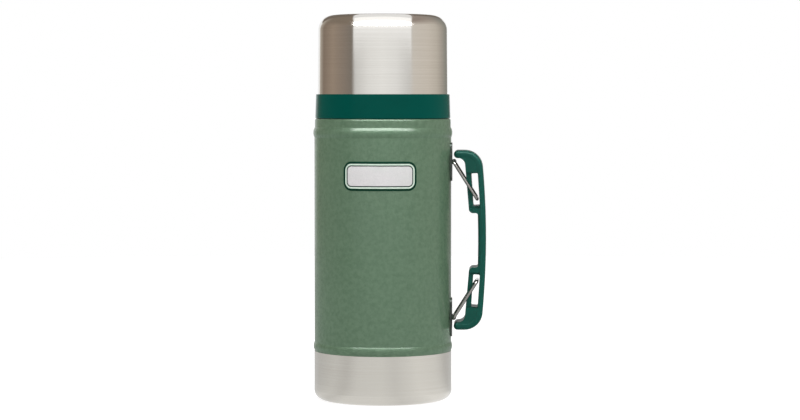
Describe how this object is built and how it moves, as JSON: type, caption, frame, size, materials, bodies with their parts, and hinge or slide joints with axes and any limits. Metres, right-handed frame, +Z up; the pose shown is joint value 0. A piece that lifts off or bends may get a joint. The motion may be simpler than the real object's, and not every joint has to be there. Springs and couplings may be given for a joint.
{
  "type": "insulated food jar",
  "caption": "Vacuum-walled steel food jar with a screw-on steel cup lid, a screw stopper and a folding plastic side handle carried on wire bails.",
  "frame": {"origin": "centre of the foot ring, on the jar's axis", "axes": "+Z up along the jar's axis, +X towards the handle, -Y towards the badge"},
  "size_m": [0.1244, 0.1, 0.2772],
  "materials": {
    "hammered_paint": "grey-green hammertone enamel, satin with fine dimples",
    "brushed_steel": "stainless steel brushed round the axis",
    "drawn_steel": "plain drawn stainless steel",
    "getter_metal": "dull sintered metal",
    "seal_glass": "fused sealing bead",
    "bracket_steel": "stamped stainless steel",
    "cup_plastic": "smooth food-grade plastic",
    "collar_plastic": "dark green, semi-gloss",
    "stopper_plastic": "dark green, moulded satin",
    "seal_rubber": "soft black seal",
    "seal_silicone": "translucent white silicone",
    "foam": "rigid insulating foam",
    "grip_plastic": "dark green, satin moulded plastic",
    "polished_wire": "bright drawn stainless wire",
    "badge_metal": "blank satin plate with a painted rim"
  },
  "bodies": {
    "jar": {"outer_shell": "hammered_paint", "base_cup": "brushed_steel", "inner_liner": "drawn_steel", "neck_sleeve": "drawn_steel", "end_cap": "drawn_steel", "getter": "getter_metal", "vacuum_seal": "seal_glass", "upper_bracket": "bracket_steel", "lower_bracket": "bracket_steel"},
    "stopper_ring": {"stopper_seal": "seal_silicone"},
    "stopper": {"stopper_cap": "stopper_plastic", "stopper_plug": "stopper_plastic", "stopper_foam": "foam"},
    "lid_ring": {"lid_seal": "seal_rubber"},
    "lid": {"lid_shell": "brushed_steel", "lid_liner": "cup_plastic", "lid_collar": "collar_plastic"},
    "handle": {"grip": "grip_plastic"},
    "bail_upper": {"upper_bail": "polished_wire"},
    "bail_lower": {"lower_bail": "polished_wire"}
  },
  "joints": [
    {"name": "stopper_rise", "type": "slide", "parent": "jar", "child": "stopper_ring", "axis": [0, 0, 1], "range_m": [0, 0.048]},
    {"name": "stopper_turn", "type": "hinge", "parent": "stopper_ring", "child": "stopper", "pos_m": [0, 0, 0.224], "axis": [0, 0, 1], "range_deg": [0, 1080]},
    {"name": "lid_rise", "type": "slide", "parent": "stopper_ring", "child": "lid_ring", "axis": [0, 0, 1], "range_m": [0, 0.06]},
    {"name": "lid_turn", "type": "hinge", "parent": "lid_ring", "child": "lid", "pos_m": [0, 0, 0.2026], "axis": [0, 0, 1], "range_deg": [0, 1440]},
    {"name": "handle_pull", "type": "slide", "parent": "jar", "child": "handle", "axis": [1, 0, 0], "range_m": [0, 0.014]},
    {"name": "upper_bail_swing", "type": "hinge", "parent": "jar", "child": "bail_upper", "pos_m": [0.0512, 0, 0.1714], "axis": [0, 1, 0], "range_deg": [-32.2, 0]},
    {"name": "lower_bail_swing", "type": "hinge", "parent": "jar", "child": "bail_lower", "pos_m": [0.0512, 0, 0.0594], "axis": [0, 1, 0], "range_deg": [0, 32.2]}
  ],
  "couplings": [
    {"joint": "stopper_rise", "follows": "stopper_turn", "m_per_rad": 0.0025465},
    {"joint": "lid_rise", "follows": "lid_turn", "m_per_rad": 0.0023873},
    {"joint": "upper_bail_swing", "follows": "handle_pull", "rad_per_m": -40.14},
    {"joint": "lower_bail_swing", "follows": "handle_pull", "rad_per_m": 40.14}
  ]
}
